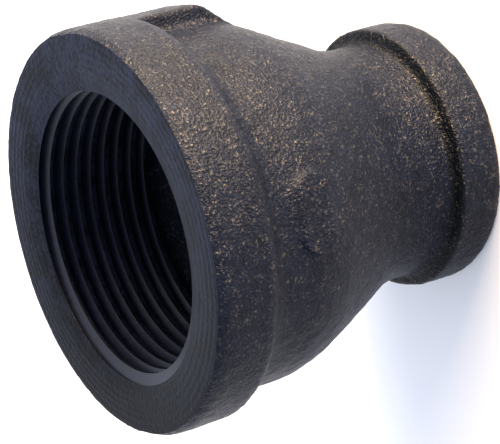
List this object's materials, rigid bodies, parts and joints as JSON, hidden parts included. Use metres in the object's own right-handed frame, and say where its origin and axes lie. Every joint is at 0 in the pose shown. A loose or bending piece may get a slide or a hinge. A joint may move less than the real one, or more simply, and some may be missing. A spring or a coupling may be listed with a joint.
{
  "type": "reducing pipe coupling",
  "caption": "Bell-shaped reducing coupling with a female taper pipe thread at each end, banded rims and one grip rib.",
  "frame": {"origin": "centre of the small end face", "axes": "+Z along the bore towards the large end; the grip rib is on +X and the raised pad on -Y"},
  "size_m": [0.056, 0.056, 0.0523],
  "materials": {
    "black_iron": "as-cast black oxide"
  },
  "bodies": {
    "root": {"reducer_body": "black_iron"}
  },
  "joints": []
}
